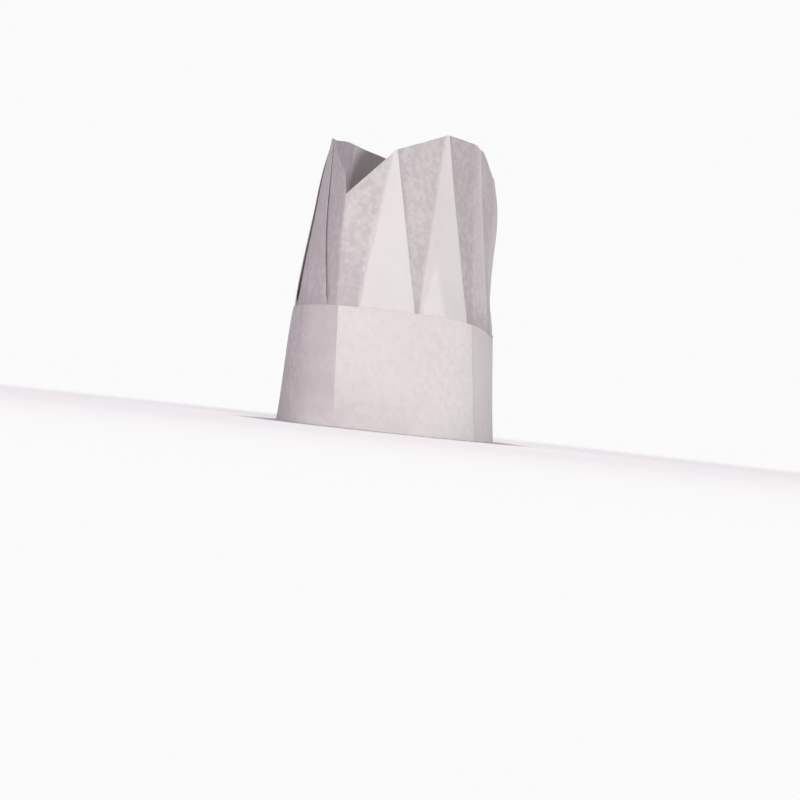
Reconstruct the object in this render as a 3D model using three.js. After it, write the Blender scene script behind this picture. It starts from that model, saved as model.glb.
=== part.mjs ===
// Chef hat of soft white non-woven paper cloth, opened out and standing on its rim.
//
// The hat is a tube of constant girth that was stored flat, so it keeps a crease down the front
// and the back, and its plan is a lens: two bowed sides that meet at the creases. A smooth folded
// band forms the lower part. Above it the crown is pleated, each pleat a wedge of three layers
// that closes to nothing at a corner of the open top edge.
//
// Millimetres, +Z up. The front crease looks towards -Y, and the origin is the middle of the rim
// on the surface that the hat stands on.

import * as THREE from 'three';

// Driving dimensions
const GIRTH = 580;
const HAT_HEIGHT = 230;
const BAND_HEIGHT = 88;
const INNER_LEAF_HEIGHT = 60;
const LEAF_THICKNESS = 1.1;
const CROWN_THICKNESS = 1.0;
const CLEARANCE = 0.3;
const PLEAT_LIFT = 1.0;
const HEM_LIFT = 0.5;
const APEX_LIFT = 0.3;
const FOLD_STEP = 0.8;
const APEX_PINCH = 0.6;
const RIM_ROUNDING = 0.3;

// Half the width between the two sides at three heights. The hat narrows towards the top.
const BOW = [
  { height: 0, halfWidth: 84 },
  { height: HAT_HEIGHT / 2, halfWidth: 67.3 },
  { height: HAT_HEIGHT, halfWidth: 54 },
];

// Share of a side's bend that gathers towards its two creases.
const CREASE_CURL = 0.18;

// Pleats of one side, from one crease to the other: distance from the first crease along the
// side, height of the top edge at the pleat's apex, and half the overlap's width at the band.
const PLEATS = [
  { distance: 36, apexHeight: 205.5, halfSpread: 22 },
  { distance: 90.5, apexHeight: 227, halfSpread: 26 },
  { distance: 145, apexHeight: HAT_HEIGHT, halfSpread: 16.5 },
  { distance: 199.5, apexHeight: 227, halfSpread: 26 },
  { distance: 254, apexHeight: 205.5, halfSpread: 22 },
];

// Bottom of the V notch that the top edge has at each crease.
const NOTCH_HEIGHT = 170;

// Folds of one pleat: where each lies across the overlap (-1 at the inner fold, 1 at the outer
// one), its step past that fold, and how much of the lift shows outside and inside there.
const FOLDS = [
  { across: -1, step: -FOLD_STEP, outside: 0, inside: 0 },
  { across: -1, step: 0, outside: 0, inside: 1 },
  { across: -0.5, step: 0, outside: 0.25, inside: 0.75 },
  { across: 0, step: 0, outside: 0.5, inside: 0.5 },
  { across: 0.5, step: 0, outside: 0.75, inside: 0.25 },
  { across: 1, step: 0, outside: 1, inside: 0 },
  { across: 1, step: FOLD_STEP, outside: 0, inside: 0 },
];

const COLUMNS_BETWEEN_PLEATS = 3;
const HEM_ROWS = 2;
const CROWN_ROWS = 6;
const BAND_COLUMN_WIDTH = 6;

const SIDE = GIRTH / 2;
const BEND_STEPS = 24;
const ANGLE_HALVINGS = 24;
const CROWN_INSET = LEAF_THICKNESS + CLEARANCE + HEM_LIFT;

// Heading of a side, as an angle from +Y, at a share of -1 (front crease) to 1 (back crease).
function heading(share, creaseAngle) {
  return -creaseAngle * (share + CREASE_CURL * (share ** 3 - share));
}

// Place on a side relative to its middle, by adding up short straight steps.
function bend(share, creaseAngle) {
  const step = (share * SIDE) / 2 / BEND_STEPS;
  let along = 0;
  let across = 0;
  for (let i = 0; i < BEND_STEPS; i += 1) {
    const angle = heading((share * (i + 0.5)) / BEND_STEPS, creaseAngle);
    along += Math.cos(angle) * step;
    across += Math.sin(angle) * step;
  }
  return { along, across };
}

function halfWidth(height) {
  const q = height / HAT_HEIGHT;
  const [low, middle, high] = BOW.map((row) => row.halfWidth);
  return low * (1 - q) * (1 - 2 * q) + 4 * middle * q * (1 - q) + high * q * (2 * q - 1);
}

// The angle between a side and the Y axis at its creases that gives the side its half width.
function creaseAngle(height) {
  const wanted = halfWidth(height);
  let low = 0;
  let high = Math.PI / 2;
  for (let i = 0; i < ANGLE_HALVINGS; i += 1) {
    const middle = (low + high) / 2;
    if (-bend(1, middle).across < wanted) {
      low = middle;
    } else {
      high = middle;
    }
  }
  return (low + high) / 2;
}

// A point of the hat's plan at a height: distance runs once round the hat from the front crease,
// counter-clockwise seen from above, and inset goes inwards from the outer face of the band.
function ringPoint(distance, height, inset) {
  const onSecondSide = distance >= SIDE;
  const fromCrease = onSecondSide ? distance - SIDE : distance;
  const angle = creaseAngle(height);
  const share = (2 * fromCrease) / SIDE - 1;
  const place = bend(share, angle);
  const direction = heading(share, angle);
  const atCrease = fromCrease === 0;
  const outwardX = atCrease ? 0 : Math.cos(direction);
  const outwardY = atCrease ? -1 / Math.sin(angle) : -Math.sin(direction);
  const x = halfWidth(height) + place.across - outwardX * inset;
  const y = place.along - outwardY * inset;
  return onSecondSide ? [-x, -y, height] : [x, y, height];
}

// Closed wall round the hat: a loop of points at each column, joined from column to column.
function wallMesh(name, material, columnCount, loopCount, pointAt) {
  const positions = [];
  const triangles = [];
  for (let i = 0; i < columnCount; i += 1) {
    const here = i * loopCount;
    const beside = ((i + 1) % columnCount) * loopCount;
    for (let j = 0; j < loopCount; j += 1) {
      const next = (j + 1) % loopCount;
      positions.push(...pointAt(i, j));
      triangles.push(here + j, beside + j, beside + next);
      triangles.push(here + j, beside + next, here + next);
    }
  }
  const geometry = new THREE.BufferGeometry();
  geometry.setAttribute('position', new THREE.Float32BufferAttribute(positions, 3));
  geometry.setIndex(triangles);
  geometry.computeVertexNormals();
  const mesh = new THREE.Mesh(geometry, material);
  mesh.name = name;
  return mesh;
}

function mix(a, b, share) {
  return a + (b - a) * share;
}

// Height of the open top edge: straight from the notch at a crease to each pleat's apex in turn.
function topHeight(distance) {
  const corners = [
    { distance: 0, apexHeight: NOTCH_HEIGHT },
    ...PLEATS,
    { distance: SIDE, apexHeight: NOTCH_HEIGHT },
  ];
  const fromCrease = distance % SIDE;
  const next = corners.findIndex((corner) => corner.distance > fromCrease);
  const a = corners[next - 1];
  const b = corners[next];
  const share = (fromCrease - a.distance) / (b.distance - a.distance);
  return mix(a.apexHeight, b.apexHeight, share);
}

// Columns of one side of the crown: the distance of each at the band and at the top edge.
function sideColumns(start) {
  const crease = { atBand: start, atTop: start, outside: 0, inside: 0 };
  const columns = [crease];
  const addBetween = (to) => {
    const from = columns[columns.length - 1];
    for (let k = 1; k <= COLUMNS_BETWEEN_PLEATS; k += 1) {
      const share = k / (COLUMNS_BETWEEN_PLEATS + 1);
      const atBand = mix(from.atBand, to.atBand, share);
      const atTop = mix(from.atTop, to.atTop, share);
      columns.push({ atBand, atTop, outside: 0, inside: 0 });
    }
  };
  for (const pleat of PLEATS) {
    const folds = FOLDS.map((fold) => ({
      atBand: start + pleat.distance + fold.across * pleat.halfSpread + fold.step,
      atTop: start + pleat.distance + fold.across * APEX_PINCH + fold.step,
      outside: fold.outside,
      inside: fold.inside,
    }));
    addBetween(folds[0]);
    columns.push(...folds);
  }
  addBetween({ atBand: start + SIDE, atTop: start + SIDE });
  return columns;
}

// Rows of the crown from its hidden hem to its top edge: height, share of the way from the band
// to the top edge, and how far a pleat is lifted there.
function crownRow(row, column) {
  const hemBottom = INNER_LEAF_HEIGHT + CLEARANCE;
  if (row < HEM_ROWS) {
    const height = mix(hemBottom, BAND_HEIGHT, row / HEM_ROWS);
    return { height, share: 0, lift: HEM_LIFT };
  }
  const share = (row - HEM_ROWS) / CROWN_ROWS;
  const height = mix(BAND_HEIGHT, topHeight(column.atTop), share);
  const fullLift = row === HEM_ROWS ? HEM_LIFT : PLEAT_LIFT;
  return { height, share, lift: mix(fullLift, APEX_LIFT, share) };
}

function makeCrown(material) {
  const columns = [...sideColumns(0), ...sideColumns(SIDE)];
  const rowCount = HEM_ROWS + CROWN_ROWS + 1;
  const pointAt = (i, j) => {
    const column = columns[i];
    const isOutside = j < rowCount;
    const row = isOutside ? j : 2 * rowCount - 1 - j;
    const { height, share, lift } = crownRow(row, column);
    const distance = mix(column.atBand, column.atTop, share);
    const outerInset = CROWN_INSET - column.outside * lift;
    const innerInset = CROWN_INSET + CROWN_THICKNESS + column.inside * lift;
    return ringPoint(distance, height, isOutside ? outerInset : innerInset);
  };
  return wallMesh('crown', material, columns.length, 2 * rowCount, pointAt);
}

// The band's section: two leaves folded at the rim, the outer one carried up over the crown's hem.
function makeBand(material) {
  const section = [
    { height: 0, inset: RIM_ROUNDING },
    { height: RIM_ROUNDING, inset: 0 },
    { height: BAND_HEIGHT / 2, inset: 0 },
    { height: BAND_HEIGHT, inset: 0 },
    { height: BAND_HEIGHT, inset: LEAF_THICKNESS },
    { height: INNER_LEAF_HEIGHT, inset: LEAF_THICKNESS },
    { height: INNER_LEAF_HEIGHT, inset: 2 * LEAF_THICKNESS },
    { height: BAND_HEIGHT / 3, inset: 2 * LEAF_THICKNESS },
    { height: RIM_ROUNDING, inset: 2 * LEAF_THICKNESS },
    { height: 0, inset: 2 * LEAF_THICKNESS - RIM_ROUNDING },
  ];
  const perSide = Math.round(SIDE / BAND_COLUMN_WIDTH);
  const pointAt = (i, j) => {
    const { height, inset } = section[j];
    const sideStart = i < perSide ? 0 : SIDE;
    return ringPoint(sideStart + ((i % perSide) * SIDE) / perSide, height, inset);
  };
  return wallMesh('band', material, 2 * perSide, section.length, pointAt);
}

function paperCloth(name, colour) {
  return new THREE.MeshStandardMaterial({ name, color: colour, roughness: 0.9, metalness: 0 });
}

const hat = new THREE.Group();
hat.add(makeBand(paperCloth('band_cloth', 0xebe6e6)));
hat.add(makeCrown(paperCloth('crown_cloth', 0xe2dcdd)));

export default hat;
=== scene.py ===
# %% [markdown]
# # A paper chef hat, pleated and folded
#
# This lesson makes a tall disposable chef hat. The real one is cut from thin non-woven cloth,
# pleated at its lower part, glued into a folded band and packed flat, so it opens into a lens
# with a crease at the front and another at the back.
#
# The plan: load the measured frame, set the camera, work out the hat's plan at every height,
# lay out a flat strip of cloth for each piece and fold it, then give it its paper finish.

# %% Load the frame
import math
from types import SimpleNamespace
import bmesh
import bpy
import numpy as np
from mathutils import Euler, Matrix, Vector, noise


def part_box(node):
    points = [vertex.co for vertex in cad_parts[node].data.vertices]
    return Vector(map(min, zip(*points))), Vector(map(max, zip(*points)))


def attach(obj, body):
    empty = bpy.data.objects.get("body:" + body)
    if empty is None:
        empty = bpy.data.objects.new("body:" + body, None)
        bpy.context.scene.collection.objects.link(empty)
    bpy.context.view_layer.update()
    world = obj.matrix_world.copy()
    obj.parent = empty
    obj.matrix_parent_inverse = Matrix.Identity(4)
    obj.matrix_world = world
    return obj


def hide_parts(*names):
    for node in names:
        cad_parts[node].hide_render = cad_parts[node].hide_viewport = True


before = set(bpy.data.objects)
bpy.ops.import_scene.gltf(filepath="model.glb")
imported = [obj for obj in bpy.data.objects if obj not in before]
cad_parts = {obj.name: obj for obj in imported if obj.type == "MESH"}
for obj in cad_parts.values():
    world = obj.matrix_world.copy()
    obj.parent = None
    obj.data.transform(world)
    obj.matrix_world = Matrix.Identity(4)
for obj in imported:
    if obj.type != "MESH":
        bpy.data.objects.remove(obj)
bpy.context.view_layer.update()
BAND_HIGH = Vector(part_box("band")[1])
CROWN_LOW, CROWN_HIGH = (Vector(corner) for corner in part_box("crown"))
print("nodes:", sorted(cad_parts))

# %% [markdown]
# ## The hat's sizes
#
# A hat like this is named by its height and by the head it goes round. The heights and the rim's
# width come from the frame. What the frame can't tell is named here: how the girth stays the same
# from rim to top while the hat narrows, and how the pleats are laid. All lengths are in metres.

# %% Name the sizes
MM = 0.001
GIRTH = 580 * MM
SIDE = GIRTH / 2
HAT_HEIGHT = CROWN_HIGH.z
BAND_HEIGHT = BAND_HIGH.z
HEM_HEIGHT = CROWN_LOW.z
RIM_HALF_WIDTH = BAND_HIGH.x
MIDDLE_HALF_WIDTH = 67.3 * MM
TOP_HALF_WIDTH = 54 * MM
CREASE_CURL = 0.18
NOTCH_HEIGHT = 167 * MM
CLOTH = 0.22 * MM
BAND_LEAF = 0.26 * MM

# Each pleat has a distance from the crease along one side, the height of its apex and half the
# width of its overlap at the band. The pleats that lie in shade have their layers painted less
# white, by the share in shows, which is painted shade, and gap says how full the single cloth
# before the pleat looks, at the band and at the top.
PLEATS = [
    SimpleNamespace(distance=38 * MM, apex=205.5 * MM, spread=21.5 * MM, shows=1.0, gap=(0.42, 0.9)),
    SimpleNamespace(distance=91 * MM, apex=227 * MM, spread=25.5 * MM, shows=1.0, gap=(0.95, 0.95)),
    SimpleNamespace(distance=145 * MM, apex=HAT_HEIGHT, spread=12 * MM, shows=0.35, gap=(0.56, 0.6)),
    SimpleNamespace(distance=199.5 * MM, apex=227 * MM, spread=26 * MM, shows=0.5, gap=(0.7, 0.7)),
    SimpleNamespace(distance=252 * MM, apex=205.5 * MM, spread=27 * MM, shows=0.15, gap=(0.95, 0.95)),
]
# the same for the cloth between the last pleat and the crease
LAST_GAP = (0.5, 0.5)
print(f"hat {HAT_HEIGHT / MM:.0f} mm tall, band {BAND_HEIGHT / MM:.0f} mm, {2 * len(PLEATS)} pleats")

# %% [markdown]
# ## The camera
#
# The view is three-quarters from the front crease, from very low down, and the hat leans a little
# to the right in the picture. Either the hat or the camera can be tilted for that. The camera is
# rolled here, so the hat itself stands level, and it stays just above the floor.

# %% Place the camera
VIEW_AZIMUTH = math.radians(22.25)
VIEW_YAW = math.radians(-0.42)
VIEW_PITCH = math.radians(0.68)
VIEW_ROLL = math.radians(6.27)
VIEW_DISTANCE = 1.175
VIEW_HEIGHT = 0.012
LENS_MM = 66.5
CLIP_NEAR = 0.01

camera = bpy.data.objects.new("camera", bpy.data.cameras.new("camera"))
bpy.context.scene.collection.objects.link(camera)
bpy.context.scene.camera = camera
camera.data.lens = LENS_MM
camera.data.clip_start = CLIP_NEAR
camera.location = (
    VIEW_DISTANCE * math.sin(VIEW_AZIMUTH),
    -VIEW_DISTANCE * math.cos(VIEW_AZIMUTH),
    VIEW_HEIGHT,
)
level = Euler((math.pi / 2 + VIEW_PITCH, 0, VIEW_AZIMUTH + VIEW_YAW)).to_matrix()
camera.rotation_euler = (level @ Matrix.Rotation(VIEW_ROLL, 3, "Z")).to_euler()
print("camera at", [round(c, 3) for c in camera.location])

# %% [markdown]
# ## The plan at every height
#
# Cloth doesn't stretch, so each horizontal section of the hat is the same 58 cm long. The two
# sides bow out from crease to crease, and the bow alone decides the width and the length. A side
# could be an arc or a piece of an ellipse, but then its length would have to be solved for. So it
# is drawn by walking its known length and turning evenly, with a little more turn near the
# creases. The angle at the crease is searched for until the side bows as far as it should.

# %% Draw one side of the plan
BEND_STEPS = 24
ANGLE_HALVINGS = 24
PLAN_COUNT = 49
PLAN_MARGIN = 5 * MM
PLAN_HEIGHTS = np.linspace(-PLAN_MARGIN, HAT_HEIGHT + PLAN_MARGIN, PLAN_COUNT)


def half_width(height):
    """A parabola through the half widths at the rim, halfway up and at the top."""
    share = height / HAT_HEIGHT
    at_rim = RIM_HALF_WIDTH * (1 - share) * (1 - 2 * share)
    halfway = 4 * MIDDLE_HALF_WIDTH * share * (1 - share)
    at_top = TOP_HALF_WIDTH * share * (2 * share - 1)
    return at_rim + halfway + at_top


def heading(share, crease_angle):
    """Angle from +Y at a share of -1 (first crease) to 1 (second crease)."""
    return -crease_angle * (share + CREASE_CURL * (share**3 - share))


def bend(share, crease_angle):
    """Place on a side relative to its middle, across (X) and along (Y)."""
    step = share * SIDE / 2 / BEND_STEPS
    across = 0
    along = 0
    for i in range(BEND_STEPS):
        angle = heading(share * (i + 0.5) / BEND_STEPS, crease_angle)
        across = across + np.sin(angle) * step
        along = along + np.cos(angle) * step
    return across, along


def find_crease_angle(height):
    """Halve the range of angles until the side bows out as far as the half width."""
    low = np.zeros_like(height)
    high = np.full_like(height, math.pi / 2)
    for _ in range(ANGLE_HALVINGS):
        middle = (low + high) / 2
        too_flat = -bend(1, middle)[0] < half_width(height)
        low = np.where(too_flat, middle, low)
        high = np.where(too_flat, high, middle)
    return (low + high) / 2


CREASE_ANGLES = find_crease_angle(PLAN_HEIGHTS)
low_middle_top = CREASE_ANGLES[[0, PLAN_COUNT // 2, -1]]
print("crease angles at the rim, halfway up and at the top:", np.degrees(low_middle_top).round(1))

# %% [markdown]
# ## From cloth to space
#
# `plan` turns a distance round the hat and a height into a point and the direction that looks
# out of the hat there. The second side is the first one turned half round. At a crease the two
# sides meet, so the outward direction is the line between theirs, made longer to keep the cloth's
# depth even on both sides of the corner.

# %% Find points and outward directions
CREASE_REACH = 0.01 * MM
TIP_WIDTH = 1.6 * MM
TIP_RISE = 14 * MM


def plan(distance, height):
    turned = distance >= SIDE
    from_crease = np.where(turned, distance - SIDE, distance)
    sign = np.where(turned, -1.0, 1.0)
    angle = np.interp(height, PLAN_HEIGHTS, CREASE_ANGLES)
    share = 2 * from_crease / SIDE - 1
    across, along = bend(share, angle)
    direction = heading(share, angle)
    at_crease = from_crease < CREASE_REACH
    out_x = np.where(at_crease, 0, np.cos(direction))
    out_y = np.where(at_crease, -1 / np.sin(angle), -np.sin(direction))
    point = np.stack([sign * (half_width(height) + across), sign * along, height], axis=-1)
    outward = np.stack([sign * out_x, sign * out_y, np.zeros_like(height)], axis=-1)
    return point, outward


def top_height(distance):
    """The top edge runs from the notch to each pleat's apex in turn, and drops at the crease."""
    knots = [0, *(pleat.distance for pleat in PLEATS), SIDE - TIP_WIDTH, SIDE]
    apexes = [pleat.apex for pleat in PLEATS]
    heights = [NOTCH_HEIGHT, *apexes, NOTCH_HEIGHT + TIP_RISE, NOTCH_HEIGHT]
    return np.interp(np.mod(distance, SIDE), knots, heights)


rim_creases = plan(np.array([0, SIDE]), np.zeros(2))[0]
print(f"the rim is {math.dist(*rim_creases) / MM:.0f} mm long from crease to crease")

# %% [markdown]
# ## Flat facets between the folds
#
# Between two folds the cloth hangs almost flat, and most of the bend happens at the folds. So
# each point is moved part of the way from the smooth bow to the straight line between the folds
# on either side. Near the band the cloth has to follow the band, and the facets fade out there.

# %% Flatten the facets
FACET_FLATNESS = 0.6
FACET_FADE = 0.22


def ramp(value, start, end):
    """0 at the start, 1 at the end and even between."""
    return np.clip((value - start) / (end - start), 0, 1)


def share_of_crown(height):
    """0 at the band's top, 1 at the hat's full height."""
    return ramp(height, BAND_HEIGHT, HAT_HEIGHT)


def fold_lines(height):
    """Distances of the creases and the outer folds of one side, a row for each fold."""
    rows = [np.zeros_like(height)]
    for pleat in PLEATS:
        rows.append(pleat.distance + pleat.spread * ramp(height, pleat.apex, BAND_HEIGHT))
    rows.append(np.full_like(height, SIDE))
    return np.stack(rows)


def crown_surface(distance, height):
    """Point and outward direction, drawn part of the way from the bow to the flat facet."""
    point, outward = plan(distance, height)
    side_start = np.where(distance >= SIDE, SIDE, 0.0)
    folds = fold_lines(height)
    facet = np.clip((folds <= distance - side_start).sum(axis=0) - 1, 0, len(PLEATS))
    column = np.arange(len(distance))
    start = folds[facet, column]
    end = folds[facet + 1, column]
    share = (distance - side_start - start) / (end - start)
    first = plan(start + side_start, height)[0]
    last = plan(np.mod(end + side_start, GIRTH), height)[0]
    straight = first + (last - first) * share[:, None]
    free = np.minimum(1, share_of_crown(height) / FACET_FADE)
    flat = FACET_FLATNESS * free * free * (3 - 2 * free)
    return point + (straight - point) * flat[:, None], outward


between_folds = np.array([(PLEATS[1].distance + PLEATS[2].distance) / 2])
near_top = np.array([PLEATS[1].apex])
drawn_in = math.dist(crown_surface(between_folds, near_top)[0][0], plan(between_folds, near_top)[0][0])
print(f"a facet's middle lies {drawn_in / MM:.1f} mm inside the smooth bow")

# %% [markdown]
# ## Soft unevenness
#
# Thin cloth is never quite true. A slow noise, read at each place on the hat, pushes the surface
# in and out by a fraction of a millimetre, and at the band's top the sides bow out a little more
# than the even plan says. The band's top edge isn't level either, and past the edge of its glued
# joint the cloth lies a step further in. Some corners of the open top have gone soft, so the
# cloth bulges below them and the corner sinks, and the corner left of the front crease stands up
# in a point. All of this depends only on the place, so the layers of a pleat move together and
# never cross, and the crown stays inside the band.

# %% Push the cloth in and out
FULL_PART_WIDTH = 60 * MM
FULL_PART_LENGTH = 55 * MM
# where each side bows out a little more at the band's top, and by how much
FULL_PARTS = [
    SimpleNamespace(distance=200 * MM, out=1.4 * MM),
    SimpleNamespace(distance=SIDE + 205 * MM, out=5.2 * MM),
]


def unevenness(point, wavelength, depth):
    scaled = point / wavelength
    return np.array([noise.noise(Vector(p)) for p in scaled]) * depth


def bell(value, middle, width):
    """1 at the middle, fading to both sides."""
    return np.exp(-(((value - middle) / width) ** 2))


def fuller_parts(distance, height):
    """How far the sides bow out beyond the even bow, in both the band and the crown."""
    out = np.zeros_like(height)
    for part in FULL_PARTS:
        near = bell(distance, part.distance, FULL_PART_WIDTH)
        out = out + part.out * near * bell(height, BAND_HEIGHT, FULL_PART_LENGTH)
    return out


print("the sides bow out by", [round(part.out / MM, 1) for part in FULL_PARTS], "mm more")

# %% Soften the corners of the top
BULGE_HEIGHT = 185 * MM
BULGE_LENGTH = 45 * MM
BULGE_FADE = 0.25
SINK_POWER = 3
# distance round the hat and width of each soft corner, how far it bulges out and is pulled down
SOFT_CORNERS = [
    SimpleNamespace(distance=146 * MM, width=5 * MM, out=0, down=2 * MM),
    SimpleNamespace(distance=200 * MM, width=30 * MM, out=4.5 * MM, down=13 * MM),
    SimpleNamespace(distance=SIDE + 140 * MM, width=30 * MM, out=0, down=2.5 * MM),
    SimpleNamespace(distance=SIDE + 199.5 * MM, width=30 * MM, out=3.5 * MM, down=6.5 * MM),
    SimpleNamespace(distance=SIDE + 252 * MM, width=22 * MM, out=0, down=-9.5 * MM),
]


def soften_corners(distance, height):
    """How far the soft corners push each place out and pull it down."""
    out = np.zeros_like(height)
    down = np.zeros_like(height)
    share = share_of_crown(height)
    free = np.minimum(1, share / BULGE_FADE)
    for corner in SOFT_CORNERS:
        near = bell(distance, corner.distance, corner.width)
        out = out + corner.out * near * free * bell(height, BULGE_HEIGHT, BULGE_LENGTH)
        down = down + corner.down * near * share**SINK_POWER
    return out, down


corner_places = np.array([corner.distance for corner in SOFT_CORNERS])
sunk = soften_corners(corner_places, top_height(corner_places))[1]
print("the soft corners sink by", (sunk / MM).round(1), "mm")

# %% Shape the band's edge and its joint
JOINT = 124 * MM
JOINT_EDGE = 0.8 * MM
JOINT_LENGTH = 40 * MM
JOINT_STEP = 0.35 * MM
# where the band's top edge lies a little high or low
EDGE_DIPS = [
    SimpleNamespace(distance=85 * MM, width=40 * MM, down=-1.6 * MM),
    SimpleNamespace(distance=172 * MM, width=24 * MM, down=4.5 * MM),
]


def past_joint(distance):
    """0 before the joint's edge, 1 just past it, and back to 0 where the overlap ends."""
    return ramp(distance, JOINT, JOINT + JOINT_EDGE) * ramp(distance, JOINT + JOINT_LENGTH, JOINT)


def edge_drop(distance):
    """How far the band's top edge lies below its even height."""
    drop = np.zeros_like(distance)
    for dip in EDGE_DIPS:
        drop = drop + dip.down * bell(distance, dip.distance, dip.width)
    return drop


dip_places = np.array([dip.distance for dip in EDGE_DIPS])
print("the band's edge drops by", (edge_drop(dip_places) / MM).round(1), "mm")

# %% [markdown]
# ## The crown's cloth course
#
# Seen from above, the cloth walks round the hat and makes a Z at each pleat: out over the top to
# the outer fold, back underneath to the inner fold, and on again below. The course lists the stops
# of that walk: how far across the overlap, a small step past the fold, the level above the single
# cloth in layers, how many layers seem to lie there, and how far ahead of the pleat the cloth
# already lifts. All folds of a pleat meet at its apex.
#
# A cloth simulation could fold the pleats too, but its layers may slip through each other. With a
# list of stops every fold has its place, and the layers keep their order.

# %% List the stops of a pleat
NEAR_FOLD = 0.6 * MM
FOLD_TURN = 0.16 * MM
FOLD_ROUNDING = 0.1
SOFT_LEAD = 5.5 * MM
INNER_FOLD_TOP = 0.55
OUTER_FOLD_TOP = 3.3
PRESSED = 0.38
MIDDLE_SINK = 0.45
INNER_FOLD_SINK = 1.4
FOLD_EDGE_LAYERS_AND_SHADE = 1.6
BESIDE_FOLD_SHADE = 0.2
UPPER_STOPS = 14
HIDDEN_STOPS = 5
# share of the soft lead that is still to go, level and layers of the stops ahead of the pleat
LEAD_STOPS = [(1, 0, 1), (0.6, 0.08, 1.5), (0.25, 0.25, 2.2), (0, 0.45, 2.7)]


def stop(across, step=0.0, level=0.0, layers=3.0, lead=0.0):
    return SimpleNamespace(across=across, step=step, level=level, layers=layers, lead=lead)


def upper(across):
    """The top layer rises slowly at first, and is well clear at the outer fold."""
    share = (across + 1) / 2
    return INNER_FOLD_TOP + (OUTER_FOLD_TOP - INNER_FOLD_TOP) * share**2


def middle(across):
    """The middle layer is pressed to the top one at the outer fold and sinks to the inner one."""
    return upper(across) - PRESSED - MIDDLE_SINK * (1 - across) / 2


def lower(across):
    return -INNER_FOLD_SINK * (1 - across) / 2


def run(from_across, to_across, level_at, count):
    """Stops spread evenly between two folds, without the folds themselves."""
    places = [from_across + (to_across - from_across) * k / count for k in range(1, count)]
    return [stop(across, level=level_at(across)) for across in places]


PLEAT_COURSE = [
    *(
        stop(-1, lead=-SOFT_LEAD * ahead, level=level, layers=layers)
        for ahead, level, layers in LEAD_STOPS
    ),
    *run(-1, 1, upper, UPPER_STOPS),
    stop(1, step=-NEAR_FOLD, level=upper(1)),
    # at the outer fold's edge fewer layers count: partly the one bent layer seen there, partly painted
    # shade that keeps the lit edge from looking white
    stop(1, level=upper(1) - FOLD_ROUNDING, layers=FOLD_EDGE_LAYERS_AND_SHADE),
    stop(1, step=FOLD_TURN, level=(upper(1) + middle(1)) / 2, layers=1),
    stop(1, level=middle(1) + FOLD_ROUNDING, layers=1),
    stop(1, step=-NEAR_FOLD, level=middle(1)),
    *run(1, -1, middle, HIDDEN_STOPS),
    stop(-1, step=NEAR_FOLD, level=middle(-1)),
    stop(-1, level=middle(-1)),
    stop(-1, step=-FOLD_TURN, level=(middle(-1) + lower(-1)) / 2),
    stop(-1, level=lower(-1)),
    stop(-1, step=NEAR_FOLD, level=lower(-1)),
    *run(-1, 1, lower, HIDDEN_STOPS),
    stop(1, step=-NEAR_FOLD),
    # just past the outer fold the single cloth counts less than one layer: painted shade of the lifted
    # fold
    stop(1, step=NEAR_FOLD, layers=BESIDE_FOLD_SHADE),
]
print("stops in a pleat:", len(PLEAT_COURSE))

# %% [markdown]
# ## The walk round the hat
#
# The whole walk is two sides with a crease before each. Between the pleats the cloth is single,
# with stops a few millimetres apart, and two extra ones hug each crease so that it stays crisp.
# Every stop becomes a column of the cloth, which leans because the folds of a pleat close towards
# its apex, so a column has one place at the band and another at the top.

# %% Walk once round the hat
APEX_SPREAD = 0.8 * MM
APEX_STEP = 0.5
BAND_LEAD = 0.55
GAP_STOPS = 8
CREASE_HUG = 0.5 * MM
LEVEL_DROP = 1.6


def cloth_column(at_band, at_top, level, layers):
    """One column: its distance and its layers, each at the band and at the top."""
    return SimpleNamespace(at_band=at_band, at_top=at_top, level=level, layers=layers)


def crease_column(distance):
    """An upright column in or beside a crease."""
    return cloth_column(distance, distance, LEVEL_DROP, LAST_GAP)


def pleat_column(pleat, middle_line, place):
    """The column of one stop. Pleats in shade have their layers painted less white, most at the band.
    """
    at_band = place.across * pleat.spread + place.step + place.lead * BAND_LEAD
    at_top = place.across * APEX_SPREAD + place.step * APEX_STEP + place.lead
    # painted shade: the layers of pleats in shade are painted less white by their share, more so at
    # the band
    more = (place.layers - 1) * pleat.shows
    layers = (1 + more * pleat.shows, 1 + more)
    return cloth_column(middle_line + at_band, middle_line + at_top, place.level, layers)


def crossing(columns, end, count, layers):
    """Single cloth from the last column to the next one."""
    start = columns[-1]
    for k in range(1, count):
        share = k / count
        at_band = start.at_band + (end.at_band - start.at_band) * share
        at_top = start.at_top + (end.at_top - start.at_top) * share
        level = start.level + (end.level - start.level) * share
        columns.append(cloth_column(at_band, at_top, level, layers))


def crown_columns():
    columns = []
    for start in (0.0, SIDE):
        columns.append(crease_column(start))
        columns.append(crease_column(start + CREASE_HUG))
        for pleat in PLEATS:
            folded = [pleat_column(pleat, start + pleat.distance, place) for place in PLEAT_COURSE]
            crossing(columns, folded[0], GAP_STOPS, pleat.gap)
            columns.extend(folded)
        end = crease_column(start + SIDE - CREASE_HUG)
        crossing(columns, end, GAP_STOPS, LAST_GAP)
        columns.append(end)
    columns.append(crease_column(GIRTH))
    return columns


CROWN_COLUMNS = crown_columns()
print("columns round the crown:", len(CROWN_COLUMNS))

# %% [markdown]
# ## A flat strip that knows its place
#
# Each pleat could be extruded and folded by hand, edge after edge. But cloth begins flat, and
# `create_grid` gives the flat strip. Each vertex of the grid says which column and which row of
# the cloth it is, so folding is one move: put every vertex where its column and row belong. The
# strip's two ends then meet and are welded. Creases and cut edges are shaded sharp. A map in
# metres and the count of layers stay on the cloth for its finish, and a Solidify modifier gives
# the cloth its thickness.

# %% Fold a strip of cloth
GRID_HALF = 0.5
WELD_REACH = 0.02 * MM


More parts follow.
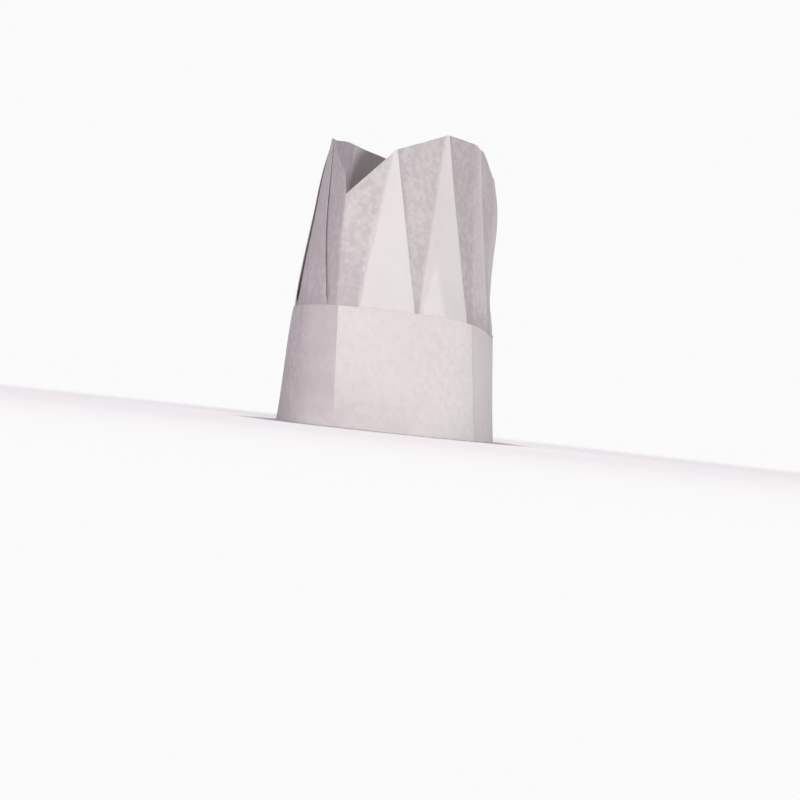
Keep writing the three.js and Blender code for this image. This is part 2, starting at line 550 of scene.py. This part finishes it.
def fold_strip(name, places, layers, cloth_map, sharp_columns):
    """places, layers and cloth_map are arrays of rows by columns."""
    row_count, column_count = layers.shape
    bm = bmesh.new()
    bmesh.ops.create_grid(
        bm, x_segments=column_count - 1, y_segments=row_count - 1, size=GRID_HALF
    )
    layer_count = bm.verts.layers.float.new("layers")
    uv = bm.loops.layers.uv.new("cloth")
    column_of = [round((v.co.x + GRID_HALF) * (column_count - 1)) for v in bm.verts]
    row_of = [round((v.co.y + GRID_HALF) * (row_count - 1)) for v in bm.verts]
    for face in bm.faces:
        for corner in face.loops:
            k = corner.vert.index
            corner[uv].uv = cloth_map[row_of[k], column_of[k]]
        face.smooth = True
    for v, row, column in zip(bm.verts, row_of, column_of):
        v.co = places[row, column]
        v[layer_count] = layers[row, column]
    for edge in bm.edges:
        first, second = (column_of[v.index] for v in edge.verts)
        edge.smooth = not (edge.is_boundary or first == second and first in sharp_columns)
    ends = [v for v, column in zip(bm.verts, column_of) if column in (0, column_count - 1)]
    bmesh.ops.remove_doubles(bm, verts=ends, dist=WELD_REACH)
    area = sum(face.calc_area() for face in bm.faces)
    mesh = bpy.data.meshes.new(name)
    bm.to_mesh(mesh)
    bm.free()
    piece = bpy.data.objects.new(name, mesh)
    bpy.context.scene.collection.objects.link(piece)
    print(f"{name}: {len(mesh.vertices)} vertices, {area * 1e4:.0f} square centimetres of cloth")
    return piece, area


def thicken(piece, thickness):
    """Give the cloth its thickness, with the second material on the inside."""
    wall = piece.modifiers.new("thickness", "SOLIDIFY")
    wall.thickness = thickness
    wall.offset = 0
    wall.material_offset = 1


# %% [markdown]
# ## The crown
#
# The rows run from the hem, which the band hides, over the band's own top edge to the top of the
# hat. Under the band the pleats are pressed flat, above its edge they spring up a little, and
# towards the apex they close. Since every column has its own top height, the rows fan out to
# follow the cornered edge.
#
# The count of layers that each place seems to have is kept for the finish. The hidden layers of
# the second pleat have a small tuck, a triangle that shines through whiter, and towards the band
# the single cloth at the foot of each narrowing gap is painted darker, as shade deep between the
# pleats.

# %% Count the crown's layers
TUCK_MIDDLE = 78 * MM
TUCK_HALF_WIDTH = 14 * MM
TUCK_APEX = 137 * MM
TUCK_LEAN = 5 * MM
TUCK_EDGE = 4 * MM
TUCK_LAYERS = 2.0
TUCK_FEWEST = 2.5
# the feet of the gaps are painted darker towards the band, as shade deep between the pleats
FOOT_HEIGHT = 38 * MM
FOOT_SHADE = 0.75
FOOT_FEWEST = 0.55
FOOT_MOST = 1.4


def tuck_layers(distance, height, layers):
    """Layers that the tuck adds to a pleat, in a triangle that closes at its own apex."""
    closing = ramp(height, TUCK_APEX, BAND_HEIGHT)
    middle_here = TUCK_MIDDLE + TUCK_LEAN * (1 - closing)
    inside = (TUCK_HALF_WIDTH * closing - np.abs(distance - middle_here)) / TUCK_EDGE
    return TUCK_LAYERS * np.clip(inside, 0, 1) * (layers > TUCK_FEWEST)


def gap_foot_shade(height, layers):
    """Painted shade on the single cloth at the foot of each gap, where the gaps narrow towards the
    band.
    """
    low = np.clip(1 - (height - BAND_HEIGHT) / FOOT_HEIGHT, 0, 1)
    return FOOT_SHADE * low * low * (layers > FOOT_FEWEST) * (layers < FOOT_MOST)


print(f"the tuck is {(TUCK_APEX - BAND_HEIGHT) / MM:.0f} mm high")
# the feet of the gaps carry painted shade
print(f"the thin feet of the gaps are {FOOT_HEIGHT / MM:.0f} mm high")

# %% Make the crown
HEM_ROWS = 6
CROWN_ROWS = 46
CROWN_INSET = 0.55 * MM
HEM_LEVEL = 0.08 * MM
FULL_LEVEL = 0.7 * MM
APEX_LEVEL = 0.18 * MM
SPRING_LENGTH = 7 * MM
BAND_WAVE = 70 * MM
BAND_WAVE_DEPTH = 0.5 * MM
CROWN_WAVE = 55 * MM
CROWN_WAVE_DEPTH = 0.9 * MM


def level_height(share, sprung):
    """Height of one layer's level: pressed under the band, full above it and less at the apex."""
    full = FULL_LEVEL + (APEX_LEVEL - FULL_LEVEL) * share
    return HEM_LEVEL + (full - HEM_LEVEL) * sprung


def make_crown():
    at_band = np.array([c.at_band for c in CROWN_COLUMNS])
    at_top = np.array([c.at_top for c in CROWN_COLUMNS])
    level = np.array([c.level for c in CROWN_COLUMNS])
    layers_at_band, layers_at_top = np.array([c.layers for c in CROWN_COLUMNS]).T
    walked = np.concatenate([[0], np.cumsum(np.abs(np.diff(at_band)))])
    band_edge = BAND_HEIGHT - edge_drop(np.mod(at_band, GIRTH))
    places, counts, maps = [], [], []
    for row in range(HEM_ROWS + CROWN_ROWS + 1):
        share = max(0.0, (row - HEM_ROWS) / CROWN_ROWS)
        distance = at_band + (at_top - at_band) * share
        if row < HEM_ROWS:
            height = HEM_HEIGHT + (band_edge - HEM_HEIGHT) * row / HEM_ROWS
        else:
            height = band_edge + (top_height(at_top) - band_edge) * share
        around = np.mod(distance, GIRTH)
        point, outward = crown_surface(around, height)
        sprung = ramp(height - BAND_HEIGHT + edge_drop(around), 0, SPRING_LENGTH)
        rise = (level - LEVEL_DROP) * level_height(share, sprung) - CROWN_INSET
        rise = rise - past_joint(around) * JOINT_STEP * (1 - sprung)
        wave = unevenness(point, CROWN_WAVE, CROWN_WAVE_DEPTH * sprung)
        wave = wave + unevenness(point, BAND_WAVE, BAND_WAVE_DEPTH * (1 - sprung))
        out, down = soften_corners(around, height)
        out = out + fuller_parts(around, height)
        places.append(point + outward * (rise + wave + out)[:, None] - down[:, None] * (0, 0, 1))
        layers = layers_at_band + (layers_at_top - layers_at_band) * share
        # the tuck adds layers, and the gaps' feet lose some as painted shade
        counts.append(layers + tuck_layers(around, height, layers) - gap_foot_shade(height, layers))
        maps.append(np.stack([walked, height], axis=-1))
    creases = [k for k, c in enumerate(CROWN_COLUMNS) if c.at_band in (0, SIDE, GIRTH)]
    return fold_strip("crown_cloth", np.stack(places), np.stack(counts), np.stack(maps), creases)


crown, crown_area = make_crown()
thicken(crown, CLOTH)

# %% [markdown]
# ## The band
#
# The band is a plain strip folded over lengthwise. The fold is the rim that the hat stands on, the
# tall leaf faces out and holds the crown's hem, and the short leaf turns up inside. Two tubes
# would leave the rim open, so the way down the outer leaf, round the rim and up the inner leaf is
# one section, and the columns carry it round the hat on the same plan as the crown. They stand
# closer at the creases and at the edge of the glued joint.
#
# The pleats behind the band show through as faint ridges that carry on the lines of the outer
# folds. The band looks cleanest in the glued overlap, where more layers lie together. Towards the
# rim it is painted lighter against the shade near the floor, most of all left of the front crease,
# and left of the front crease it is painted greyer as shade, less so close to the crease.

# %% Draw the band's section and columns
INNER_LEAF_TOP = 66 * MM
INNER_INSET = 2.3 * MM
RIM_RADIUS = 0.7 * MM
TURN_HEIGHT = 0.2 * RIM_RADIUS
TURN_INSET = 0.25 * RIM_RADIUS
BAND_ROWS = 26
INNER_ROWS = 14
BAND_COLUMN_WIDTH = 2.5 * MM


def steps(first, last, count):
    return [first + (last - first) * k / count for k in range(count + 1)]


def band_section():
    """Height, inset and leaf (1 outside, 0 inside) down the outer leaf and up the inner one."""
    half = BAND_LEAF / 2
    outer = [(height, 0, 1) for height in steps(BAND_HEIGHT, RIM_RADIUS, BAND_ROWS)]
    turn = [(TURN_HEIGHT, TURN_INSET, 1), (0, RIM_RADIUS, 1), (0, INNER_INSET - RIM_RADIUS, 0)]
    inner = [(height, INNER_INSET, 0) for height in steps(RIM_RADIUS, INNER_LEAF_TOP, INNER_ROWS)]
    return [
        (max(height, half), inset + half * (2 * leaf - 1), leaf)
        for height, inset, leaf in outer + turn + inner
    ]


def band_distances():
    """Even columns, with closer ones at the creases and at the edge of the glued joint."""
    even = np.linspace(0, GIRTH, round(GIRTH / BAND_COLUMN_WIDTH) + 1)
    extra = [CREASE_HUG, SIDE - CREASE_HUG, SIDE, SIDE + CREASE_HUG, GIRTH - CREASE_HUG]
    extra += [JOINT - JOINT_EDGE / 2, JOINT, JOINT + JOINT_EDGE / 2, JOINT + JOINT_EDGE]
    apart = [d for d in even if min(abs(d - e) for e in extra) > CREASE_HUG / 2]
    return np.array(sorted([*apart, *extra]))


print("stops in the band's section:", len(band_section()), "- columns:", len(band_distances()))

# %% Count the band's layers
BAND_LAYERS = 3
JOINT_LAYERS = 0.45
OVERLAP_START = 50 * MM
OVERLAP_FULL = 108 * MM
OVERLAP_LAYERS = 2.0
# left of the front crease the band lies in shade: fewer layers paint that shade, less so close to the
# crease, and towards the rim more layers paint light against the shade near the floor
LEFT_SHADE_START = GIRTH - 150 * MM
LEFT_SHADE_FULL = GIRTH - 90 * MM
LEFT_SHADE_LAYERS = 2.2
CREASE_LIGHT_START = GIRTH - 52 * MM
CREASE_LIGHT_FULL = GIRTH - 25 * MM
CREASE_LIGHT_LAYERS = 0.8
RIM_LIGHT_REACH = 34 * MM
RIM_LIGHT_LAYERS = 2.0
RIM_LIGHT_SHARE = 0.5


def band_layers(distance, height):
    """More layers in the glued overlap, painted light at the rim, painted shade left of the front
    crease.
    """
    overlap = ramp(distance, OVERLAP_START, OVERLAP_FULL) * (distance < JOINT)
    # painted shade left of the front crease, weaker close to the crease, and painted light towards the
    # rim
    apart = ramp(distance, LEFT_SHADE_START, LEFT_SHADE_FULL)
    light_by_crease = ramp(distance, CREASE_LIGHT_START, CREASE_LIGHT_FULL)
    at_rim = ramp(height, RIM_LIGHT_REACH, 0) ** 2 * (RIM_LIGHT_SHARE + apart * (RIM_LIGHT_SHARE + light_by_crease))
    more = OVERLAP_LAYERS * overlap + RIM_LIGHT_LAYERS * at_rim
    fewer = past_joint(distance) * JOINT_LAYERS + apart * (LEFT_SHADE_LAYERS - light_by_crease * CREASE_LIGHT_LAYERS)
    return BAND_LAYERS + more - fewer


halfway_up = band_layers(band_distances(), BAND_HEIGHT / 2)
print(f"halfway up the band seems {halfway_up.min():.1f} to {halfway_up.max():.1f} layers thick")

# %% Make the band
RIDGE_DEPTH = 0.3 * MM
RIDGE_WIDTH = 1.6 * MM
RIM_CALM = 20 * MM
EDGE_POWER = 4
EDGE_WAVE = 35 * MM
EDGE_WAVE_DEPTH = 0.35 * MM


def pleat_ridges(distance, height):
    """How much the outer folds press through, as the fold lines would run on to the rim."""
    from_crease = np.mod(distance, SIDE)
    ridge = np.zeros_like(distance)
    for pleat in PLEATS:
        closing = (pleat.apex - height) / (pleat.apex - BAND_HEIGHT)
        gap = from_crease - pleat.distance - pleat.spread * closing
        ridge = ridge + bell(gap, 0, RIDGE_WIDTH) * RIDGE_DEPTH
    return ridge


def make_band():
    distance = band_distances()
    joint = past_joint(distance)
    places, counts, maps = [], [], []
    walked = 0.0
    section = list(reversed(band_section()))
    for k, (even_height, inset, leaf) in enumerate(section):
        if k:
            walked += math.dist(section[k - 1][:2], section[k][:2])
        near_edge = leaf * max(0, even_height / BAND_HEIGHT) ** EDGE_POWER
        height = even_height - edge_drop(distance) * near_edge
        point, outward = plan(np.mod(distance, GIRTH), height)
        free = min(1, even_height / RIM_CALM)
        wave = unevenness(point, BAND_WAVE, BAND_WAVE_DEPTH * free) + fuller_parts(distance, height)
        edge = unevenness(point * (1, 1, 0) + (0, 0, 1), EDGE_WAVE, EDGE_WAVE_DEPTH * near_edge)
        ridge = (pleat_ridges(distance, height) * free - joint * JOINT_STEP) * leaf
        places.append(point + outward * (wave + ridge - inset)[:, None] + edge[:, None] * (0, 0, 1))
        counts.append(band_layers(distance, height))
        maps.append(np.stack([distance, np.full_like(distance, walked)], axis=-1))
    creases = [k for k, d in enumerate(distance) if d in (0, SIDE, GIRTH)]
    return fold_strip("band_cloth", np.stack(places), np.stack(counts), np.stack(maps), creases)


band = make_band()[0]
thicken(band, BAND_LEAF)

# %% [markdown]
# ## Sums for the finish
#
# Node materials read better as sums. `Sum` wraps the output of a node so that plus, minus and
# times make Math nodes, and `Finish` adds any other node from its type, settings and inputs. It
# serves the materials and the room's background alike.

# %% Wrap sockets in sums
class Sum:
    def __init__(self, finish, socket):
        self.finish = finish
        self.socket = socket

    def math(self, operation, *values):
        return self.finish.node("ShaderNodeMath", {"operation": operation}, dict(enumerate(values)))

    def __add__(self, other):
        return self.math("ADD", self, other)

    def __sub__(self, other):
        return self.math("SUBTRACT", self, other)

    def __rsub__(self, other):
        return self.math("SUBTRACT", other, self)

    def __mul__(self, other):
        return self.math("MULTIPLY", self, other)

    __radd__ = __add__
    __rmul__ = __mul__


class Finish:
    """A material or world that is built from its shader's inputs."""

    def __init__(self, owner, shader_name="Principled BSDF"):
        owner.use_nodes = True
        self.owner = owner
        self.tree = owner.node_tree
        self.shader = self.tree.nodes[shader_name]

    def set_input(self, target, value):
        if isinstance(value, Sum):
            self.tree.links.new(value.socket, target)
        else:
            target.default_value = value

    def node(self, kind, settings, inputs, output=0):
        made = self.tree.nodes.new(kind)
        for key, value in settings.items():
            setattr(made, key, value)
        for key, value in inputs.items():
            self.set_input(made.inputs[key], value)
        return Sum(self, made.outputs[output])

    def noise(self, vector, scale, detail=2.0, roughness=0.5):
        inputs = {"Vector": vector, "Scale": scale, "Detail": detail, "Roughness": roughness}
        return self.node("ShaderNodeTexNoise", {}, inputs)

    def vector(self, operation, first, second=(0, 0, 0), output="Vector"):
        inputs = {0: first, 1: second}
        return self.node("ShaderNodeVectorMath", {"operation": operation}, inputs, output)

    def mix_colour(self, factor, first, second):
        # inputs 6 and 7 are the colours of a Mix node, and output 2 is its colour
        inputs = {0: factor, 6: first, 7: second}
        return self.node("ShaderNodeMix", {"data_type": "RGBA"}, inputs, output=2)

    def between(self, value, low, high):
        """0 below low, 1 above high and smooth between."""
        inputs = {"Value": value, "From Min": low, "From Max": high}
        return self.node("ShaderNodeMapRange", {"interpolation_type": "SMOOTHSTEP"}, inputs)


# %% [markdown]
# ## Non-woven paper cloth
#
# The cloth is a mat of fine fibres pressed together, not a weave. A picture of paper would repeat
# and blur from near, so the fibres are long thin noise on the cloth's own map, laid in several
# directions. They are felt in the relief more than seen.

# %% Lay the fibres
FIBRE_TURNS = (12, 58, 101, 149)
FIBRE_LENGTH_SCALE = 120
FIBRE_WIDTH_SCALE = 1500
FIBRE_RANGE = (0.52, 0.72)


def fibres(finish, cloth):
    """Thin streaks in several directions, from 0 to about 1."""
    total = 0
    for turn in FIBRE_TURNS:
        turned = finish.node(
            "ShaderNodeMapping",
            {},
            {
                "Vector": cloth,
                "Rotation": (0, 0, math.radians(turn)),
                "Scale": (FIBRE_LENGTH_SCALE, FIBRE_WIDTH_SCALE, 1),
            },
        )
        streak = finish.noise(turned, 1.0, detail=1.0)
        total = total + finish.between(streak, *FIBRE_RANGE)
    return total * (1 / len(FIBRE_TURNS))


fibre_size = (1 / FIBRE_LENGTH_SCALE / MM, 1 / FIBRE_WIDTH_SCALE / MM)
print("fibres about {:.0f} mm long and {:.1f} mm wide".format(*fibre_size))

# %% [markdown]
# One layer is cloudy and lets the dark inside show, so it looks greyer, and three layers look
# clean and white. The count of layers that the cloth carries mixes the two, with a ragged border
# where one passes into the other. Less than one layer stands for cloth that looks thinner still,
# and more than three for the tuck and the overlap, which are the whitest. Lowered and raised
# counts also carry painted shade and painted light: beside the outer folds, at the feet of the
# gaps and on the band.

# %% Mix the cloth's colours
CROWN_WHITE = (0.684, 0.662, 0.648, 1)
BAND_WHITE = (0.69, 0.644, 0.646, 1)
MANY_WHITE = (0.76, 0.735, 0.72, 1)
SINGLE_LIGHT = (0.63, 0.595, 0.59, 1)
SINGLE_DARK = (0.48, 0.432, 0.45, 1)
CLOUD_SCALE = 190.0
CLOUD_DETAIL = 4.0
CLOUD_ROUGHNESS = 0.65
CLOUD_RANGE = (0.36, 0.64)
CLOUD_SHARE = 0.55
DRIFT_SCALE = 30.0
DRIFT_RANGE = (0.3, 0.7)
DRIFT_SHARE = 0.3
STRAND_SHARE = 0.3
THIN_RANGE = (1.0, 0.0)
THIN_AND_SHADE_GREY = 0.8
COVER_RANGE = (1.1, 2.9)
COVER_RAGGED = 0.9
MANY_RANGE = (3.0, 5.0)


def cloth_colour(finish, place, strands, white, cloudiness):
    """The cloth's colour, and how far it is covered by more than one layer."""
    layers = finish.node("ShaderNodeAttribute", {"attribute_name": "layers"}, {}, output="Fac")
    cloud = finish.noise(place, CLOUD_SCALE, CLOUD_DETAIL, CLOUD_ROUGHNESS)
    cloud = finish.between(cloud, *CLOUD_RANGE)
    drift = finish.between(finish.noise(place, DRIFT_SCALE), *DRIFT_RANGE)
    blotch = cloud * CLOUD_SHARE + drift * DRIFT_SHARE + strands * STRAND_SHARE
    # below one layer the cloth turns greyer: thinner cloth, and painted shade where counts were
    # lowered for it
    thin = finish.between(layers, *THIN_RANGE)
    single = finish.mix_colour(blotch + thin * THIN_AND_SHADE_GREY, SINGLE_LIGHT, SINGLE_DARK)
    ragged = layers + (cloud - 0.5) * COVER_RAGGED
    covered = finish.between(ragged, *COVER_RANGE) * (1 - blotch * cloudiness)
    many = finish.mix_colour(finish.between(layers, *MANY_RANGE), white, MANY_WHITE)
    return finish.mix_colour(covered, single, many), covered


print("white of the crown and of the band:", CROWN_WHITE[:3], BAND_WHITE[:3])

# %% [markdown]
# Thin cloth glows a little on the side away from the light. A real see-through shader is slow and
# noisy on so many layers, so on the inside the glow is an emission colour, weaker where layers
# cover each other. Across the front notch the far wall lies in the shade of the near one. The
# lights alone leave it too pale, so a soft patch of shade around one point is part of the inside's
# finish. Such a patch doesn't move when the lights do, so it is kept small.

# %% Let light through to the inside
BLACK = (0, 0, 0, 1)
SINGLE_GLOW = (0.078, 0.061, 0.083, 1)
COVERED_GLOW = (0.05, 0.043, 0.048, 1)
SHADE = (0.28, 0.262, 0.255, 1)
SHADE_MIDDLE = (-52 * MM, 40 * MM, 195 * MM)
SHADE_INNER = 33 * MM
SHADE_OUTER = 52 * MM


def inside_colour(finish, place, covered, colour):
    """Lay the soft shade over the colour and set the glow."""
    away = finish.vector("DISTANCE", place, SHADE_MIDDLE, output="Value")
    shaded = finish.between(away, SHADE_OUTER, SHADE_INNER)
    glow = finish.mix_colour(covered, SINGLE_GLOW, COVERED_GLOW)
    glow = finish.mix_colour(shaded, glow, BLACK)
    finish.set_input(finish.shader.inputs["Emission Color"], glow)
    finish.shader.inputs["Emission Strength"].default_value = 1.0
    return finish.mix_colour(shaded, colour, SHADE)


print(f"the shade fades between {SHADE_INNER / MM:.0f} and {SHADE_OUTER / MM:.0f} mm from its middle")

# %% [markdown]
# Both pieces get the same paper with their own white, once for the outside and once for the
# inside. The surface is matt with a slight sheen of fibre ends, and the fibres and a fine grain
# stand out of it by a fraction of a millimetre.

# %% Make the paper finish
MATT = 0.9
STRAND_GLOSS = 0.12
STRAND_RELIEF = 0.7
GRAIN_SCALE = 900.0
GRAIN_RELIEF = 0.3
RELIEF_STRENGTH = 0.5
RELIEF_DEPTH = 0.15 * MM
SHINE = 0.25
SHEEN = 0.12
SHEEN_SPREAD = 0.5
CROWN_CLOUDINESS = 0.14
BAND_CLOUDINESS = 0.3


def paper_cloth(name, white, cloudiness, inside=False):
    finish = Finish(bpy.data.materials.new(name))
    place = finish.node("ShaderNodeTexCoord", {}, {}, output="Object")
    cloth = finish.node("ShaderNodeUVMap", {"uv_map": "cloth"}, {})
    strands = fibres(finish, cloth)
    colour, covered = cloth_colour(finish, place, strands, white, cloudiness)
    if inside:
        colour = inside_colour(finish, place, covered, colour)
    finish.set_input(finish.shader.inputs["Base Color"], colour)
    finish.set_input(finish.shader.inputs["Roughness"], MATT - strands * STRAND_GLOSS)
    relief = strands * STRAND_RELIEF + finish.noise(place, GRAIN_SCALE) * GRAIN_RELIEF
    bump_inputs = {"Strength": RELIEF_STRENGTH, "Distance": RELIEF_DEPTH, "Height": relief}
    finish.set_input(finish.shader.inputs["Normal"], finish.node("ShaderNodeBump", {}, bump_inputs))
    finish.shader.inputs["Specular IOR Level"].default_value = SHINE
    finish.shader.inputs["Sheen Weight"].default_value = SHEEN
    finish.shader.inputs["Sheen Roughness"].default_value = SHEEN_SPREAD
    return finish.owner


for piece, word, white, cloudiness in (
    (crown, "crown", CROWN_WHITE, CROWN_CLOUDINESS),
    (band, "band", BAND_WHITE, BAND_CLOUDINESS),
):
    piece.data.materials.append(paper_cloth(f"{word}_paper_cloth", white, cloudiness))
    piece.data.materials.append(paper_cloth(f"{word}_paper_inside", white, cloudiness, inside=True))
    print(piece.name, "has", [material.name for material in piece.data.materials])

# %% [markdown]
# ## What each piece stands for
#
# Both cloths take the place of the frame's plain walls: each is attached to the root, and the
# frame's wall is hidden. The crown's strip is as long as the whole walk round the hat, with every
# pleat laid out flat.

for piece, node in ((crown, "crown"), (band, "band")):
    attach(piece, "root")
    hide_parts(node)

# %% [markdown]
# ## The room's tones
#
# Behind the hat hangs a white backdrop, and the rest of the room is a soft grey with a dim
# ceiling. The floor far out and the air of the room take the same tone in the same direction, so
# hardly a horizon shows between them. The tone depends on the direction in the room alone.

# %% Name the room's tones
PALE_AIR = (0.965, 0.96, 0.963, 1)
ROOM_SIDES = (0.38, 0.35, 0.375, 1)
CEILING = (0.16, 0.14, 0.165, 1)
BACKDROP_EDGE_ANGLE = 50
BACKDROP_FULL_ANGLE = 24
BACKDROP_EDGE = math.cos(math.radians(BACKDROP_EDGE_ANGLE))
BACKDROP_FULL = math.cos(math.radians(BACKDROP_FULL_ANGLE))
TOWARDS_BACKDROP = (-math.sin(VIEW_AZIMUTH), math.cos(VIEW_AZIMUTH), 0)


def room_tone(finish, direction, sides):
    """The white backdrop ahead of the camera's place, and the given tone all round it."""
    ahead = finish.vector("DOT_PRODUCT", direction, TOWARDS_BACKDROP, output="Value")
    backdrop = finish.between(ahead, BACKDROP_EDGE, BACKDROP_FULL)
    return finish.mix_colour(backdrop, sides, PALE_AIR)


print("the backdrop is white", BACKDROP_FULL_ANGLE, "degrees to each side of its middle")

# %% [markdown]
# ## The floor
#
# The floor is one pale sheet that takes the hat's shadow. A white floor seen from so low down
# would turn grey towards the horizon, so it glows a little: not at all under the hat, faintly
# around it so that the shadow stays soft, and as white as the backdrop further out. Behind the
# camera's place it takes the room's grey.

# %% Lay the floor
FLOOR_HALF = 12.0
FADE_START = 0.3
FADE_END = 0.95
ROOM_START = 1.4
ROOM_END = 4.5
LIFT_START = BAND_HIGH.y
LIFT_END = 0.17
FLOOR_LIFT = (0.5, 0.49, 0.495, 1)
FLOOR_WHITE = (0.86, 0.86, 0.86, 1)


def floor_glow(finish, place, radius, far):
    """The floor's own light: none under the hat, a little around it and the room's far out."""
    rounded = finish.vector("MULTIPLY", place, (BAND_HIGH.y / BAND_HIGH.x, 1, 1))
    hat_radius = finish.vector("LENGTH", rounded, output="Value")
    outside_hat = finish.between(hat_radius, LIFT_START, LIFT_END)
    near_glow = finish.mix_colour(outside_hat, BLACK, FLOOR_LIFT)
    tone = room_tone(finish, finish.vector("NORMALIZE", place), ROOM_SIDES)
    far_glow = finish.mix_colour(finish.between(radius, ROOM_START, ROOM_END), PALE_AIR, tone)
    return finish.mix_colour(far, near_glow, far_glow)


def pale_floor():
    finish = Finish(bpy.data.materials.new("pale_floor"))
    place = finish.node("ShaderNodeTexCoord", {}, {}, output="Object")
    radius = finish.vector("LENGTH", place, output="Value")
    far = finish.between(radius, FADE_START, FADE_END)
    finish.set_input(finish.shader.inputs["Emission Color"], floor_glow(finish, place, radius, far))
    finish.set_input(finish.shader.inputs["Base Color"], finish.mix_colour(far, FLOOR_WHITE, BLACK))
    finish.shader.inputs["Emission Strength"].default_value = 1.0
    finish.shader.inputs["Specular IOR Level"].default_value = 0.0
    finish.shader.inputs["Roughness"].default_value = 1.0
    return finish.owner


bm = bmesh.new()
bmesh.ops.create_grid(bm, x_segments=1, y_segments=1, size=FLOOR_HALF)
floor_mesh = bpy.data.meshes.new("floor")
bm.to_mesh(floor_mesh)
bm.free()
floor = bpy.data.objects.new("floor", floor_mesh)
bpy.context.scene.collection.objects.link(floor)
floor.data.materials.append(pale_floor())
print(f"floor {2 * FLOOR_HALF:.0f} m wide")

# %% [markdown]
# ## The lights
#
# One big soft light stands low to the right of the camera, so what lies left of the front crease
# falls into shade, and a weak lilac light from the other side keeps that shade soft. Each light
# is placed by its bearing and height as seen from the middle of the hat, in degrees.

# %% Hang the lights
def soft_light(name, azimuth, elevation, distance, size, power, colour):
    lamp = bpy.data.lights.new(name, "AREA")
    lamp.shape = "DISK"
    lamp.size = size
    lamp.energy = power
    lamp.color = colour
    light = bpy.data.objects.new(name, lamp)
    bpy.context.scene.collection.objects.link(light)
    a = math.radians(azimuth)
    e = math.radians(elevation)
    away = Vector((math.sin(a) * math.cos(e), -math.cos(a) * math.cos(e), math.sin(e)))
    light.location = Vector((0, 0, HAT_HEIGHT / 2)) + away * distance
    light.rotation_euler = away.to_track_quat("Z", "Y").to_euler()
    print(f"{name}: {power} W, {size} m wide, {distance} m away")


soft_light(
    "softbox", azimuth=32, elevation=11, distance=4.0, size=1.9, power=104, colour=(1, 0.99, 0.965)
)
soft_light(
    "lilac_fill", azimuth=-60, elevation=14, distance=3.0, size=1.6, power=8, colour=(1, 0.6, 0.95)
)

# %% [markdown]
# ## The air of the room
#
# What the two lights don't reach is lit by the room itself. A world's background can carry the
# room's tones in every direction, which is cheaper than building walls. The view transform is
# the plain one, so a white stays as it is.

# %% Fill the room with light
HORIZON_TOP = 0.27
CEILING_START = 0.55

room = Finish(bpy.data.worlds.new("pale_room"), "Background")
direction = room.node("ShaderNodeTexCoord", {}, {}, output="Generated")
upward = room.node("ShaderNodeSeparateXYZ", {}, {0: direction}, output="Z")
high_up = room.between(upward, HORIZON_TOP, CEILING_START)
sides = room.mix_colour(high_up, ROOM_SIDES, CEILING)
room.set_input(room.shader.inputs["Color"], room_tone(room, direction, sides))
bpy.context.scene.world = room.owner
bpy.context.scene.view_settings.view_transform = "Standard"
print(f"the ceiling begins {math.degrees(math.asin(HORIZON_TOP)):.0f} degrees up")
